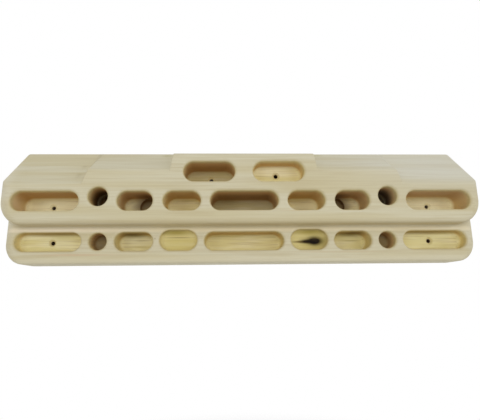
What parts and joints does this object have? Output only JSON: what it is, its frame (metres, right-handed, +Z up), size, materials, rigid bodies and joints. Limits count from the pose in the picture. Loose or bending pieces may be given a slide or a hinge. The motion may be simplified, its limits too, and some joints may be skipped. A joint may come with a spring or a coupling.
{
  "type": "climbing hangboard",
  "caption": "Two-tier wooden climbing training board with rounded finger pockets in rows, sloping tops at two angles and a raised middle block, screwed flat to a wall.",
  "frame": {"origin": "middle of the flat back face, which goes against the wall", "axes": "+Y out of the back face into the wall, +X along the board to the right as seen from the front, +Z up"},
  "size_m": [0.58, 0.058, 0.15],
  "materials": {
    "front_layer_wood": "pale tulipwood, machined and sanded, left bare",
    "core_layer_wood": "pale tulipwood, machined and sanded, left bare",
    "back_layer_wood": "pale tulipwood, machined and sanded, left bare, slightly yellower"
  },
  "bodies": {
    "root": {"front_middle_stave": "front_layer_wood", "front_upper_stave": "front_layer_wood", "front_top_stave": "front_layer_wood", "core_bottom_stave": "core_layer_wood", "core_middle_stave": "core_layer_wood", "core_upper_stave": "core_layer_wood", "core_top_stave": "core_layer_wood", "back_bottom_stave": "back_layer_wood", "back_middle_stave": "back_layer_wood", "back_upper_stave": "back_layer_wood", "back_top_stave": "back_layer_wood"}
  },
  "joints": []
}
